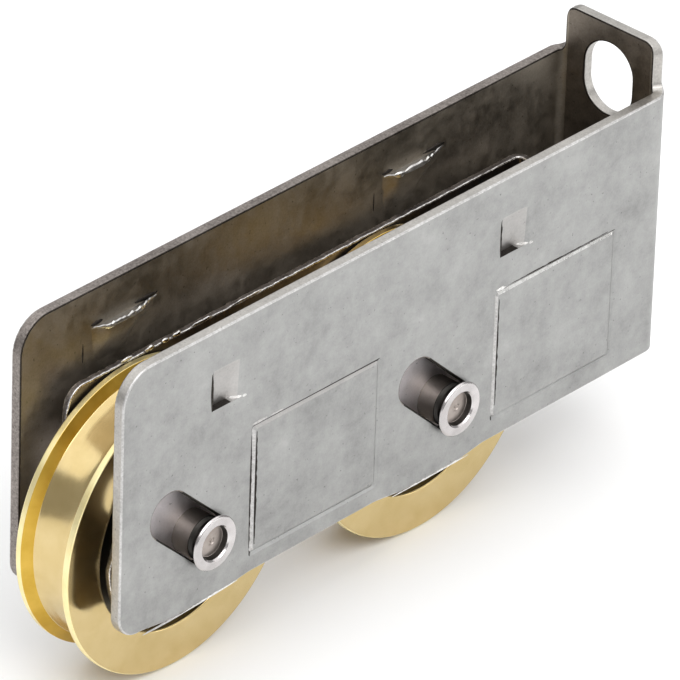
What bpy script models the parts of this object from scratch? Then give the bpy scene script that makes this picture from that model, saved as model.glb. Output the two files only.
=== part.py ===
"""Tandem sliding door roller: two grooved brass wheels in a bent stainless steel housing.

The wheels run on ball bearings between the side plates of a carrier. The axles end in heads
outside the housing and pass through its inclined slots, so the carrier slides in the housing
and sets how far the wheels stand out below the door.

World frame: +X along the housing towards its closed end, +Y through the wheels towards the
rear plate, +Z up. The origin lies on the rail, under the middle of the object's box.
"""
import math

import bmesh
import bpy
from mathutils import Matrix, Vector

MM = 0.001

# Housing, one bent sheet. Its own coordinates start at the open end and at the lower edge.
HOUSING_LENGTH = 95.25 * MM
HOUSING_HEIGHT = 36.0 * MM
HOUSING_WIDTH = 18.0 * MM
SHEET = 1.5 * MM
BEND_INSIDE = 0.9 * MM
PLATE_TOP_RADIUS = 4.5 * MM
PLATE_FOOT_RADIUS = 3.2 * MM

# Shallow drops of the plates' lower edges below each axle: start, low from, low to, end.
FOOT_DROP = 0.6 * MM
FOOT_DROPS = ((4.0, 8.0, 17.0, 22.0), (44.0, 48.5, 59.0, 63.0))

# End tab: the end wall, risen above the plates.
TAB_HEIGHT = 42.2 * MM
TAB_HALF_WIDTH = 7.6 * MM
TAB_CORNER = 1.9 * MM
TAB_FILLET = 1.0 * MM
HOLE_WIDTH = 7.6 * MM
HOLE_HEIGHT = 9.8 * MM
HOLE_CENTRE = 34.7 * MM

# Inclined slots, one for each axle in each plate.
SLOT_WIDTH = 6.1 * MM
SLOT_ANGLE = math.radians(137.0)
SLOT_TRAVEL = 9.3 * MM

# Lances pressed inward from both plates. They keep the carrier in the middle.
LANCE_WIDTH = 6.2 * MM
LANCE_LOW = 25.3 * MM
LANCE_HIGH = 30.4 * MM
LANCE_DEPTH = 1.2 * MM
LANCE_MIDDLES = (17.95 * MM, 67.85 * MM)

# Wheels.
WHEEL_RADIUS = 19.05 * MM
WHEEL_WIDTH = 9.0 * MM
REAR_FLANGE_RADIUS = 18.5 * MM
RIM_LAND = 0.85 * MM
RIM_CHAMFER = 0.2 * MM
GROOVE_SHOULDER_RADIUS = 17.3 * MM
GROOVE_SHOULDER_HALF = 2.7 * MM
GROOVE_FLOOR_RADIUS = 16.8 * MM
HUB_RECESS_RADIUS = 13.5 * MM
HUB_RECESS_DEPTH = 1.1 * MM
AXLE_FROM_END = 14.95 * MM
AXLE_SPACING = 42.5 * MM
AXLE_ABOVE_FOOT = 7.64 * MM

# Ball bearings.
BORE_GAP = 0.3 * MM
BEARING_HALF = 3.0 * MM
BALL_COUNT = 7
BALL_RADIUS = 1.35 * MM
PITCH_RADIUS = 6.3 * MM
RACEWAY_RADIUS = 1.65 * MM
INNER_RACE_OUTSIDE = 5.2 * MM
OUTER_RACE_INSIDE = 7.4 * MM
OUTER_RACE_OUTSIDE = 9.2 * MM
SHIELD_SEAT_RADIUS = 8.2 * MM
SHIELD_SEAT_AT = 2.3 * MM
SHIELD_INSIDE = 5.5 * MM
SHIELD_OUTSIDE = 7.9 * MM
SHIELD_NEAR = 2.55 * MM
SHIELD_FAR = 2.85 * MM
CAGE_INSIDE = 5.9 * MM
CAGE_OUTSIDE = 6.7 * MM
CAGE_HALF = 1.95 * MM
SPACER_RADIUS = 4.6 * MM
SPACER_NEAR = 3.3 * MM
SPACER_FAR = 4.5 * MM

# Axles.
AXLE_RADIUS = 2.8 * MM
NECK_RADIUS = 2.4 * MM
NECK_AT = 8.8 * MM
HEAD_BACK = 9.35 * MM
HEAD_FRONT = 10.2 * MM
HEAD_RADIUS = 3.6 * MM
HEAD_ROUND = 0.3 * MM
HEAD_RECESS_RADIUS = 2.17 * MM
HEAD_RECESS_DEPTH = 1.0 * MM

# Carrier, one bent sheet with a web across its far end.
CARRIER_INSIDE = 4.8 * MM
CARRIER_SHEET = 0.9 * MM
CARRIER_BEND_INSIDE = 0.6 * MM
CARRIER_LOBE = 13.2 * MM
CARRIER_TOP = 26.2 * MM
CARRIER_LEFT = 5.2 * MM
CARRIER_RIGHT = 84.3 * MM
CARRIER_FOOT = 0.1 * MM
CARRIER_CORNER = 3.0 * MM
AXLE_HOLE_RADIUS = 3.1 * MM

# Housing coordinates to world coordinates.
FOOT_Z = WHEEL_RADIUS - AXLE_ABOVE_FOOT
MIDDLE_X = (HOUSING_LENGTH + AXLE_FROM_END - WHEEL_RADIUS) / 2
AXLES = {"left": AXLE_FROM_END - MIDDLE_X, "right": AXLE_FROM_END + AXLE_SPACING - MIDDLE_X}

# Colour, roughness and metallic value of each material.
FINISHES = {
    "stainless_sheet": ((0.42, 0.42, 0.41), 0.42, 1.0),
    "carrier_steel": ((0.40, 0.38, 0.38), 0.38, 1.0),
    "brass": ((0.80, 0.58, 0.20), 0.22, 1.0),
    "rivet_steel": ((0.60, 0.58, 0.56), 0.25, 1.0),
    "bearing_steel": ((0.52, 0.52, 0.54), 0.18, 1.0),
    "shield_steel": ((0.35, 0.34, 0.35), 0.30, 1.0),
}


def clear_scene():
    """Remove everything that the scene holds."""
    for thing in list(bpy.data.objects):
        bpy.data.objects.remove(thing, do_unlink=True)


def make_collection(name):
    """Return a new collection of the scene."""
    group = bpy.data.collections.new(name)
    bpy.context.scene.collection.children.link(group)
    return group


def make_material(name):
    """Return a metal from the table of finishes."""
    colour, roughness, metallic = FINISHES[name]
    material = bpy.data.materials.new(name)
    material.use_nodes = True
    shader = material.node_tree.nodes["Principled BSDF"]
    shader.inputs["Base Color"].default_value = (*colour, 1.0)
    shader.inputs["Roughness"].default_value = roughness
    shader.inputs["Metallic"].default_value = metallic
    material.diffuse_color = (*colour, 1.0)
    return material


def add_object(name, mesh, group, finish=None, parent=None, matrix=None):
    """Put a mesh in the scene as a named object."""
    thing = bpy.data.objects.new(name, mesh)
    group.objects.link(thing)
    if finish:
        mesh.materials.clear()
        mesh.materials.append(MATERIALS[finish])
    thing.parent = parent
    if matrix is not None:
        thing.matrix_local = matrix
    return thing


def smooth(mesh, degrees=35):
    """Shade a mesh smooth, with sharp edges where its faces meet at an angle."""
    mesh.shade_smooth()
    mesh.set_sharp_from_angle(angle=math.radians(degrees))


def rounded(corners, steps=5):
    """Return an outline whose corners (u, v, radius) are replaced by arcs."""
    points = []
    count = len(corners)
    for index, (u, v, radius) in enumerate(corners):
        here = Vector((u, v))
        before = (Vector(corners[index - 1][:2]) - here).normalized()
        after = (Vector(corners[(index + 1) % count][:2]) - here).normalized()
        if radius <= 0:
            points.append(here)
            continue
        half = before.angle(after) / 2
        reach = radius / math.tan(half)
        centre = here + (before + after).normalized() * radius / math.sin(half)
        first = here + before * reach - centre
        last = here + after * reach - centre
        for step in range(steps + 1):
            arm = first.lerp(last, step / steps).normalized() * radius
            points.append(centre + arm)
    return [(point.x, point.y) for point in points]


def arc(centre, radius, start, end, steps):
    """Return points on an arc, angles in degrees."""
    points = []
    for step in range(steps + 1):
        angle = math.radians(start + (end - start) * step / steps)
        points.append((centre[0] + radius * math.cos(angle), centre[1] + radius * math.sin(angle)))
    return points


def outline_mesh(name, points, half_thickness, matrix):
    """Extrude a flat outline both ways and return it as a mesh placed by a matrix."""
    shape = bmesh.new()
    low = [shape.verts.new((u, v, -half_thickness)) for u, v in points]
    high = [shape.verts.new((u, v, half_thickness)) for u, v in points]
    shape.faces.new(low)
    shape.faces.new(high)
    for index in range(len(points)):
        shape.faces.new((low[index - 1], low[index], high[index], high[index - 1]))
    bmesh.ops.transform(shape, matrix=matrix, verts=shape.verts)
    bmesh.ops.recalc_face_normals(shape, faces=shape.faces)
    mesh = bpy.data.meshes.new(name)
    shape.to_mesh(mesh)
    shape.free()
    return mesh


def plan(height):
    """Matrix for an outline drawn in X and Y, lifted to a height."""
    return Matrix.Translation((0, 0, height))


def side(depth=0.0):
    """Matrix for an outline drawn in X and Z, moved along Y."""
    return Matrix.Translation((0, depth, 0)) @ Matrix.Rotation(math.pi / 2, 4, "X")


def end(reach=0.0):
    """Matrix for an outline drawn in Y and Z, moved along X."""
    turn = Matrix(((0, 0, 1, 0), (1, 0, 0, 0), (0, 1, 0, 0), (0, 0, 0, 1)))
    return Matrix.Translation((reach, 0, 0)) @ turn


def boolean(thing, mesh, operation):
    """Apply one cutter mesh to an object with a Boolean modifier."""
    cutter = add_object("cutter_" + mesh.name, mesh, CUTTERS)
    cutter.hide_render = True
    cutter.display_type = "WIRE"
    cutter.parent = thing.parent
    step = thing.modifiers.new(mesh.name, "BOOLEAN")
    step.operation = operation
    step.solver = "EXACT"
    step.object = cutter


def channel_outline(left, right, half_width, sheet, bend_inside):
    """Plan of a sheet bent into a U that opens towards -X."""
    outer = bend_inside + sheet
    inner = half_width - sheet
    corners = [
        (left, -half_width, 0),
        (right, -half_width, outer),
        (right, half_width, outer),
        (left, half_width, 0),
        (left, inner, 0),
        (right - sheet, inner, bend_inside),
        (right - sheet, -inner, bend_inside),
        (left, -inner, 0),
    ]
    return rounded(corners)


def slot_outline(start, angle, travel, width, steps=10):
    """Outline of a slot from a start point along an angle."""
    degrees = math.degrees(angle)
    far = (start[0] + travel * math.cos(angle), start[1] + travel * math.sin(angle))
    points = arc(start, width / 2, degrees + 90, degrees + 270, steps)
    return points + arc(far, width / 2, degrees - 90, degrees + 90, steps)


def housing_side_outline():
    """Side view of the housing: the plates, and the tab that rises at the closed end."""
    inner = HOUSING_LENGTH - SHEET
    drops = []
    for stations in FOOT_DROPS:
        drops += [(u * MM, v, 0) for u, v in zip(stations, (0, -FOOT_DROP, -FOOT_DROP, 0))]
    return rounded([
        (0, 0, PLATE_FOOT_RADIUS),
        *drops,
        (HOUSING_LENGTH + MM, 0, 0),
        (HOUSING_LENGTH + MM, TAB_HEIGHT, 0),
        (inner, TAB_HEIGHT, 0),
        (inner, HOUSING_HEIGHT, 0),
        (0, HOUSING_HEIGHT, PLATE_TOP_RADIUS),
    ])


def housing_end_outline():
    """End view of the housing: full width below, the tab with rounded corners above."""
    half = HOUSING_WIDTH / 2 + MM
    below = -2 * MM
    right_side = [
        (half, below, 0),
        (half, HOUSING_HEIGHT, 0),
        (TAB_HALF_WIDTH, HOUSING_HEIGHT, TAB_FILLET),
        (TAB_HALF_WIDTH, TAB_HEIGHT, TAB_CORNER),
    ]
    left_side = [(-u, v, radius) for u, v, radius in reversed(right_side)]
    return rounded(right_side + left_side)


def lance_outline(face, outward, slit, hinge):
    """Section in Y and Z of a lance: a wedge on one face of a plate."""
    back = face + outward * 0.25 * MM
    return [(back, hinge), (face, hinge), (face - outward * LANCE_DEPTH, slit), (back, slit)]


def build_housing(frame):
    """Bend the housing, raise its tab, and cut its slots, end hole and lances."""
    outline = channel_outline(0, HOUSING_LENGTH, HOUSING_WIDTH / 2, SHEET, BEND_INSIDE)
    half_height = TAB_HEIGHT / 2 + MM
    blank = outline_mesh("housing", outline, half_height, plan(TAB_HEIGHT / 2))
    housing = add_object("housing", blank, PARTS, "stainless_sheet", frame)

    profile = outline_mesh("side_view", housing_side_outline(), HOUSING_WIDTH, side())
    boolean(housing, profile, "INTERSECT")
    face = outline_mesh("end_view", housing_end_outline(), HOUSING_LENGTH, end(HOUSING_LENGTH / 2))
    boolean(housing, face, "INTERSECT")

    rise = (HOLE_HEIGHT - HOLE_WIDTH) / 2
    hole = slot_outline((0, HOLE_CENTRE - rise), math.pi / 2, 2 * rise, HOLE_WIDTH)
    boolean(housing, outline_mesh("end_hole", hole, 4 * SHEET, end(HOUSING_LENGTH)), "DIFFERENCE")

    for number in (0, 1):
        axle = AXLE_FROM_END + number * AXLE_SPACING
        slot = slot_outline((axle, AXLE_ABOVE_FOOT), SLOT_ANGLE, SLOT_TRAVEL, SLOT_WIDTH)
        cut = outline_mesh(f"slot_{number}", slot, HOUSING_WIDTH, side())
        boolean(housing, cut, "DIFFERENCE")
        add_lances(housing, number, LANCE_MIDDLES[number])


def add_lances(housing, number, middle):
    """Press one lance into each plate: a recess outside, the same wedge standing out inside."""
    for plate, outward, slit, hinge in (("front", -1, LANCE_LOW, LANCE_HIGH),
                                        ("rear", 1, LANCE_HIGH, LANCE_LOW)):
        outer_face = outward * HOUSING_WIDTH / 2
        inner_face = outer_face - outward * SHEET
        bump = lance_outline(inner_face, outward, slit, hinge)
        dent = lance_outline(outer_face, outward, slit, hinge)
        half = LANCE_WIDTH / 2
        name = f"lance_{plate}_{number}"
        raised = outline_mesh(name + "_bump", bump, half, end(middle))
        sunk = outline_mesh(name + "_dent", dent, half - 0.3 * MM, end(middle))
        boolean(housing, raised, "UNION")
        boolean(housing, sunk, "DIFFERENCE")


def carrier_outline():
    """Side view of the carrier: straight top and foot, and an end rounded about the first axle."""
    left = AXLE_FROM_END - CARRIER_LOBE
    upper = rounded([
        (CARRIER_RIGHT + MM, CARRIER_TOP, 0),
        (CARRIER_LEFT, CARRIER_TOP, CARRIER_CORNER),
        (CARRIER_LEFT - 0.8 * MM, AXLE_ABOVE_FOOT + CARRIER_LOBE * 0.6, 0),
        (left, AXLE_ABOVE_FOOT, 0),
    ])
    dip = math.degrees(math.asin((AXLE_ABOVE_FOOT - CARRIER_FOOT) / CARRIER_LOBE))
    lower = arc((AXLE_FROM_END, AXLE_ABOVE_FOOT), CARRIER_LOBE, 184, 180 + dip, 8)
    return upper + lower + [(CARRIER_RIGHT + MM, CARRIER_FOOT)]


def build_carrier(frame):
    """Bend the carrier, cut it to its side view and pierce it for the axles."""
    half = CARRIER_INSIDE + CARRIER_SHEET
    outline = channel_outline(-MM, CARRIER_RIGHT, half, CARRIER_SHEET, CARRIER_BEND_INSIDE)
    middle = CARRIER_TOP / 2
    blank = outline_mesh("carrier", outline, middle + MM, plan(middle))
    carrier = add_object("carrier", blank, PARTS, "carrier_steel", frame)
    profile = outline_mesh("carrier_view", carrier_outline(), HOUSING_WIDTH, side())
    boolean(carrier, profile, "INTERSECT")
    for number in (0, 1):
        centre = (AXLE_FROM_END + number * AXLE_SPACING, AXLE_ABOVE_FOOT)
        circle = arc(centre, AXLE_HOLE_RADIUS, 0, 345, 23)
        cut = outline_mesh(f"axle_hole_{number}", circle, HOUSING_WIDTH, side())
        boolean(carrier, cut, "DIFFERENCE")


def turned(name, profile, closed, segments, finish, parent):
    """Turn a profile of (radius, height) points about the parent's local Z axis."""
    shape = bmesh.new()
    verts = [shape.verts.new((radius, 0, height)) for radius, height in profile]
    for first, second in zip(verts, verts[1:]):
        shape.edges.new((first, second))
    if closed:
        shape.edges.new((verts[-1], verts[0]))
    mesh = bpy.data.meshes.new(name)
    shape.to_mesh(mesh)
    shape.free()
    thing = add_object(name, mesh, PARTS, finish, parent)
    screw = thing.modifiers.new("turn", "SCREW")
    screw.angle = math.tau
    screw.steps = segments
    screw.render_steps = segments
    screw.use_merge_vertices = True
    screw.merge_threshold = 1e-6
    screw.use_smooth_shade = True
    return thing


def groove_arc(steps=6):
    """Points of the wheel's groove floor from its upper shoulder to its lower shoulder."""
    half, shoulder = GROOVE_SHOULDER_HALF, GROOVE_SHOULDER_RADIUS
    depth = shoulder - GROOVE_FLOOR_RADIUS
    bow = (half ** 2 + depth ** 2) / (2 * depth)
    reach = math.asin(half / bow)
    angles = [reach - 2 * reach * step / steps for step in range(steps + 1)]
    floor_centre = GROOVE_FLOOR_RADIUS + bow
    return [(floor_centre - bow * math.cos(a), bow * math.sin(a)) for a in angles]


def wheel_profile(bore):
    """Closed section of a wheel, outer side from top to bottom, then the bore."""
    half = WHEEL_WIDTH / 2
    top = [
        (HUB_RECESS_RADIUS, half),
        (WHEEL_RADIUS - RIM_CHAMFER, half),
        (WHEEL_RADIUS, half - RIM_CHAMFER),
        (WHEEL_RADIUS, half - RIM_LAND),
    ]
    rear = REAR_FLANGE_RADIUS
    bottom = [
        (rear, -half + RIM_LAND),
        (rear, -half + RIM_CHAMFER),
        (rear - RIM_CHAMFER, -half),
        (HUB_RECESS_RADIUS, -half),
    ]
    recess = half - HUB_RECESS_DEPTH
    inside = [(HUB_RECESS_RADIUS, -recess), (bore, -recess), (bore, recess), (HUB_RECESS_RADIUS, recess)]
    return top + groove_arc() + bottom + inside


def raceway(radius, facing):
    """Arc of a raceway groove where it crosses a cylinder of the given radius."""
    offset = abs(radius - PITCH_RADIUS)
    half_height = math.sqrt(RACEWAY_RADIUS ** 2 - offset ** 2)
    reach = math.atan2(half_height, offset)
    angles = [reach * (1 - step / 2) for step in range(5)]
    return [(PITCH_RADIUS + facing * RACEWAY_RADIUS * math.cos(a), RACEWAY_RADIUS * math.sin(a))
            for a in angles]


def outer_race_profile():
    """Section of the outer ring: plain outside, seats for the shields, raceway inside."""
    half = BEARING_HALF
    groove = list(reversed(raceway(OUTER_RACE_INSIDE, 1)))
    inside = [(SHIELD_SEAT_RADIUS, -half), (SHIELD_SEAT_RADIUS, -SHIELD_SEAT_AT),
              (OUTER_RACE_INSIDE, -SHIELD_SEAT_AT)] + groove
    inside += [(OUTER_RACE_INSIDE, SHIELD_SEAT_AT), (SHIELD_SEAT_RADIUS, SHIELD_SEAT_AT),
               (SHIELD_SEAT_RADIUS, half)]
    return [(OUTER_RACE_OUTSIDE, half), (OUTER_RACE_OUTSIDE, -half)] + inside


def inner_race_profile():
    """Section of the inner ring: raceway outside, plain bore."""
    half = BEARING_HALF
    bore = AXLE_RADIUS + BORE_GAP
    outside = [(INNER_RACE_OUTSIDE, half)] + raceway(INNER_RACE_OUTSIDE, -1)
    return outside + [(INNER_RACE_OUTSIDE, -half), (bore, -half), (bore, half)]


def ring_profile(inside, outside, low, high):
    """Section of a plain ring."""
    return [(outside, high), (outside, low), (inside, low), (inside, high)]


def axle_profile():
    """Half section of an axle: flared head with a recess above, plain head below."""
    soft = HEAD_ROUND
    return [
        (0, HEAD_FRONT - HEAD_RECESS_DEPTH),
        (HEAD_RECESS_RADIUS, HEAD_FRONT - HEAD_RECESS_DEPTH),
        (HEAD_RECESS_RADIUS, HEAD_FRONT - 0.2 * MM),
        (HEAD_RECESS_RADIUS + 0.3 * MM, HEAD_FRONT),
        (HEAD_RADIUS - soft, HEAD_FRONT),
        (HEAD_RADIUS, HEAD_FRONT - soft),
        (HEAD_RADIUS, HEAD_BACK + 0.1 * MM),
        (HEAD_RADIUS - 0.1 * MM, HEAD_BACK),
        (NECK_RADIUS, HEAD_BACK),
        (NECK_RADIUS, NECK_AT),
        (AXLE_RADIUS, NECK_AT),
        (AXLE_RADIUS, -HEAD_BACK),
        (HEAD_RADIUS, -HEAD_BACK),
        (HEAD_RADIUS, -HEAD_FRONT + soft),
        (HEAD_RADIUS - soft, -HEAD_FRONT),
        (0, -HEAD_FRONT),
    ]


def build_cage(side_name, parent):
    """Turn the cage ring and pierce a round pocket for each ball."""
    profile = ring_profile(CAGE_INSIDE, CAGE_OUTSIDE, -CAGE_HALF, CAGE_HALF)
    cage = turned(f"cage_{side_name}", profile, True, 42, "shield_steel", parent)
    for number in range(BALL_COUNT):
        shape = bmesh.new()
        turn = Matrix.Rotation(math.tau * number / BALL_COUNT, 4, "Z")
        out = Matrix.Translation((PITCH_RADIUS, 0, 0)) @ Matrix.Rotation(math.pi / 2, 4, "Y")
        bmesh.ops.create_cone(shape, cap_ends=True, segments=16, radius1=RACEWAY_RADIUS,
                              radius2=RACEWAY_RADIUS, depth=2 * MM, matrix=turn @ out)
        pocket = bpy.data.meshes.new(f"pocket_{side_name}_{number}")
        shape.to_mesh(pocket)
        shape.free()
        boolean(cage, pocket, "DIFFERENCE")


def build_balls(side_name, parent):
    """Set the balls round the pitch circle."""
    shape = bmesh.new()
    bmesh.ops.create_uvsphere(shape, u_segments=10, v_segments=6, radius=BALL_RADIUS)
    mesh = bpy.data.meshes.new(f"ball_{side_name}")
    shape.to_mesh(mesh)
    shape.free()
    smooth(mesh)
    for number in range(BALL_COUNT):
        turn = Matrix.Rotation(math.tau * number / BALL_COUNT, 4, "Z")
        place = turn @ Matrix.Translation((PITCH_RADIUS, 0, 0))
        add_object(f"ball_{side_name}_{number + 1}", mesh, PARTS, "bearing_steel", parent, place)


def build_wheel_set(side_name, x):
    """Build one wheel with its bearing and axle about the axle's line."""
    axis = bpy.data.objects.new(f"axis_{side_name}", None)
    PARTS.objects.link(axis)
    axis.matrix_world = Matrix.Translation((x, 0, WHEEL_RADIUS)) @ Matrix.Rotation(math.pi / 2, 4, "X")
    bore = OUTER_RACE_OUTSIDE + BORE_GAP
    turned(f"wheel_{side_name}", wheel_profile(bore), True, 64, "brass", axis)
    turned(f"outer_race_{side_name}", outer_race_profile(), True, 32, "bearing_steel", axis)
    turned(f"inner_race_{side_name}", inner_race_profile(), True, 32, "bearing_steel", axis)
    turned(f"axle_{side_name}", axle_profile(), False, 32, "rivet_steel", axis)
    for place, sign in (("front", 1), ("rear", -1)):
        low, high = sorted((sign * SHIELD_NEAR, sign * SHIELD_FAR))
        shield = ring_profile(SHIELD_INSIDE, SHIELD_OUTSIDE, low, high)
        turned(f"shield_{place}_{side_name}", shield, True, 32, "shield_steel", axis)
        low, high = sorted((sign * SPACER_NEAR, sign * SPACER_FAR))
        spacer = ring_profile(AXLE_RADIUS + BORE_GAP, SPACER_RADIUS, low, high)
        turned(f"spacer_{place}_{side_name}", spacer, True, 24, "bearing_steel", axis)
    build_cage(side_name, axis)
    build_balls(side_name, axis)


def build_roller():
    """Build the whole roller."""
    frame = bpy.data.objects.new("housing_frame", None)
    PARTS.objects.link(frame)
    frame.location = (-MIDDLE_X, 0, FOOT_Z)
    build_housing(frame)
    build_carrier(frame)
    for side_name, x in AXLES.items():
        build_wheel_set(side_name, x)


clear_scene()
PARTS = make_collection("sliding_door_roller")
CUTTERS = make_collection("cutters")
MATERIALS = {name: make_material(name) for name in FINISHES}
build_roller()
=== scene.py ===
"""Looks of the tandem sliding door roller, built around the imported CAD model.

Lengths are given in millimetres in the housing's own coordinates: X from its open end, Y across
from the middle, Z up from the plates' lower edges. place() moves a mesh into the shared frame.
"""
import math

import bmesh
import bpy
import mathutils
from mathutils import Matrix, Vector


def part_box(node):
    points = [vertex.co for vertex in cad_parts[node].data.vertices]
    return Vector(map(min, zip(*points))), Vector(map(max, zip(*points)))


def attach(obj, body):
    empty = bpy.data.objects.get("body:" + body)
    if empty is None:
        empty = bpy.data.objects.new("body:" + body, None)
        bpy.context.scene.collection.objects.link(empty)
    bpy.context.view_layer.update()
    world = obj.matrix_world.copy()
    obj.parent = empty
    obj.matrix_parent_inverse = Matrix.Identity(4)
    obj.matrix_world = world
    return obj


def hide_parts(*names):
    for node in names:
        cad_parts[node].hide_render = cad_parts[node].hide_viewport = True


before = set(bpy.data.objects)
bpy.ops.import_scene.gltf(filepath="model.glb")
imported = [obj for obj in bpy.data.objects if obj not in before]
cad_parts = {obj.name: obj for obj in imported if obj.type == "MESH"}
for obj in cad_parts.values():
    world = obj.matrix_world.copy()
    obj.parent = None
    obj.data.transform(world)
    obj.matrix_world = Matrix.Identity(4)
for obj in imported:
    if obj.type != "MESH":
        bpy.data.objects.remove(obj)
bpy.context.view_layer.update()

MM = 0.001
PER_METRE = 1000.0

# Housing sheet.
LENGTH = 95.25
HEIGHT = 36.0
HALF_WIDTH = 9.0
SHEET = 1.5
BEND = 0.9
TOP_RADIUS = 4.5
FOOT_RADIUS = 3.2
EDGE = 0.22
FOOT_DROP = 0.6
FOOT_DROPS = ((4.0, 8.0, 17.0, 22.0), (44.0, 48.5, 59.0, 63.0))
DROP_ROUND = 6.0
TAB_HEIGHT = 42.2
TAB_CORNER = 1.9
TAB_FILLET = 1.0
TAB_HALF = 7.3
HOLE_WIDTH = 7.6
HOLE_HEIGHT = 9.8
HOLE_CENTRE = 34.7

# Slots.
SLOT_WIDTH = 6.1
SLOT_ANGLE = 137.0
SLOT_TRAVEL = 9.3

# Wheels and axles.
WHEEL_RADIUS = 19.05
REAR_FLANGE_RADIUS = 18.5
HUB_RECESS_RADIUS = 13.5
AXLE_X = 14.95
AXLE_SPACING = 42.5
AXLE_Z = 7.64

# Carrier sheet.
CARRIER_HALF = 5.7
CARRIER_SHEET = 0.9
CARRIER_BEND = 0.6
CARRIER_RIGHT = 84.3
CARRIER_TOP = 26.2
CARRIER_LEFT = 5.2
CARRIER_LOBE = 13.2
CARRIER_FOOT = 0.1
CARRIER_CORNER = 3.0
CARRIER_LEAN = 0.8
CARRIER_SHOULDER = 0.6
CARRIER_EDGE_ROUND = 0.24
AXLE_HOLE = 2.62

# Bearing.
BALLS = 7
BALL_RADIUS = 1.35
PITCH = 6.3
RACE_GROOVE = 1.65
RACE_GROOVE_ANGLE = 46
RACE_HALF = 3.0
BORE = 3.1
CAGE_IN = 5.9
CAGE_OUT = 6.7
CAGE_HALF = 1.95
CAGE_POCKET = 1.6

# Shading angles, in degrees: edges sharper than these stay sharp.
HOUSING_SHARP = 32
CARRIER_SHARP = 38
TURNED_SHARP = 40

# Small lengths for merging points, in millimetres.
MERGE = 1e-5
SHEET_MERGE = 1e-4

HOUSING_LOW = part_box("housing")[0]
HOUSING_ORIGIN = Vector((HOUSING_LOW.x, 0.0, HOUSING_LOW.z + FOOT_DROP * MM))


# ---------------------------------------------------------------- outlines

def rounded(corners, steps=8):
    """Outline whose corners (u, v, radius) are replaced by arcs."""
    points = []
    count = len(corners)
    for index, (u, v, radius) in enumerate(corners):
        here = Vector((u, v))
        if radius <= 0:
            points.append(here)
            continue
        before = (Vector(corners[index - 1][:2]) - here).normalized()
        after = (Vector(corners[(index + 1) % count][:2]) - here).normalized()
        half = before.angle(after) / 2
        reach = radius / math.tan(half)
        centre = here + (before + after).normalized() * radius / math.sin(half)
        first = here + before * reach - centre
        last = here + after * reach - centre
        for step in range(steps + 1):
            arm = first.lerp(last, step / steps).normalized() * radius
            points.append(centre + arm)
    return [(point.x, point.y) for point in points]


def arc(centre, radius, start, end, steps):
    """Points on an arc, angles in degrees."""
    angles = [math.radians(start + (end - start) * step / steps) for step in range(steps + 1)]
    return [(centre[0] + radius * math.cos(a), centre[1] + radius * math.sin(a)) for a in angles]


def slot_outline(start, degrees, travel, width, steps=20):
    """Outline of a slot from a start point along an angle."""
    turn = math.radians(degrees)
    far = (start[0] + travel * math.cos(turn), start[1] + travel * math.sin(turn))
    points = arc(start, width / 2, degrees + 90, degrees + 270, steps)
    return points + arc(far, width / 2, degrees - 90, degrees + 90, steps)


# ---------------------------------------------------------------- mesh helpers

def new_object(name, mesh):
    """Put a mesh in the scene."""
    thing = bpy.data.objects.new(name, mesh)
    bpy.context.scene.collection.objects.link(thing)
    return thing


def baked(thing):
    """Apply all modifiers of an object."""
    graph = bpy.context.evaluated_depsgraph_get()
    mesh = bpy.data.meshes.new_from_object(thing.evaluated_get(graph))
    old = thing.data
    thing.modifiers.clear()
    thing.data = mesh
    mesh.name = old.name
    bpy.data.meshes.remove(old)
    return thing


def to_mesh(shape, name):
    """Write a bmesh to a new mesh."""
    mesh = bpy.data.meshes.new(name)
    shape.to_mesh(mesh)
    shape.free()
    return mesh


def plate_mesh(name, outlines, thickness, edge):
    """Flat sheet with rounded edges. Local X and Y lie in the sheet, Z goes through it."""
    curve = bpy.data.curves.new(name, "CURVE")
    curve.dimensions = "2D"
    curve.fill_mode = "BOTH"
    curve.extrude = thickness / 2 - edge
    curve.bevel_depth = edge
    curve.bevel_resolution = 2
    curve.offset = -edge
    for outline in outlines:
        spline = curve.splines.new("POLY")
        spline.points.add(len(outline) - 1)
        for point, (u, v) in zip(spline.points, outline):
            point.co = (u, v, 0.0, 1.0)
        spline.use_cyclic_u = True
    holder = new_object(name, curve)
    graph = bpy.context.evaluated_depsgraph_get()
    mesh = bpy.data.meshes.new_from_object(holder.evaluated_get(graph))
    bpy.data.objects.remove(holder, do_unlink=True)
    bpy.data.curves.remove(curve)
    shape = bmesh.new()
    shape.from_mesh(mesh)
    bpy.data.meshes.remove(mesh)
    bmesh.ops.remove_doubles(shape, verts=shape.verts, dist=SHEET_MERGE)
    bmesh.ops.recalc_face_normals(shape, faces=shape.faces)
    return shape


# Z part of a strip face's normal: flat faces, the rounding outside, which gets wear and a painted
# highlight, and the rounding inside, which gets painted shade on the housing and a painted
# highlight on the carrier.
FLAT_LEAN = 0.97
OUTER_ROUND_LEAN = 0.25
INNER_ROUND_LEAN = -0.6


def strip_slot(lean):
    """Slot of a face of the flat strip from the Z part of its normal."""
    if abs(lean) > FLAT_LEAN:
        return OUTSIDE if lean > 0 else INSIDE
    # The outer rounding takes wear with a painted highlight; the inner rounding takes the slot that
    # paints shade on the housing and a highlight on the carrier.
    if lean > OUTER_ROUND_LEAN:
        return WORN_HIGHLIGHT
    return PAINTED_EDGE if lean < INNER_ROUND_LEAN else CUT


def strip_marks(half, right, sheet, inside):
    """Where the first bend, the web, the second bend and the rear plate start along a strip."""
    outer = inside + sheet
    quarter = (inside + sheet / 2) * math.pi / 2
    first = right - outer
    web = first + quarter
    web_end = web + 2 * (half - outer)
    return first, web, web_end, web_end + quarter


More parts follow.
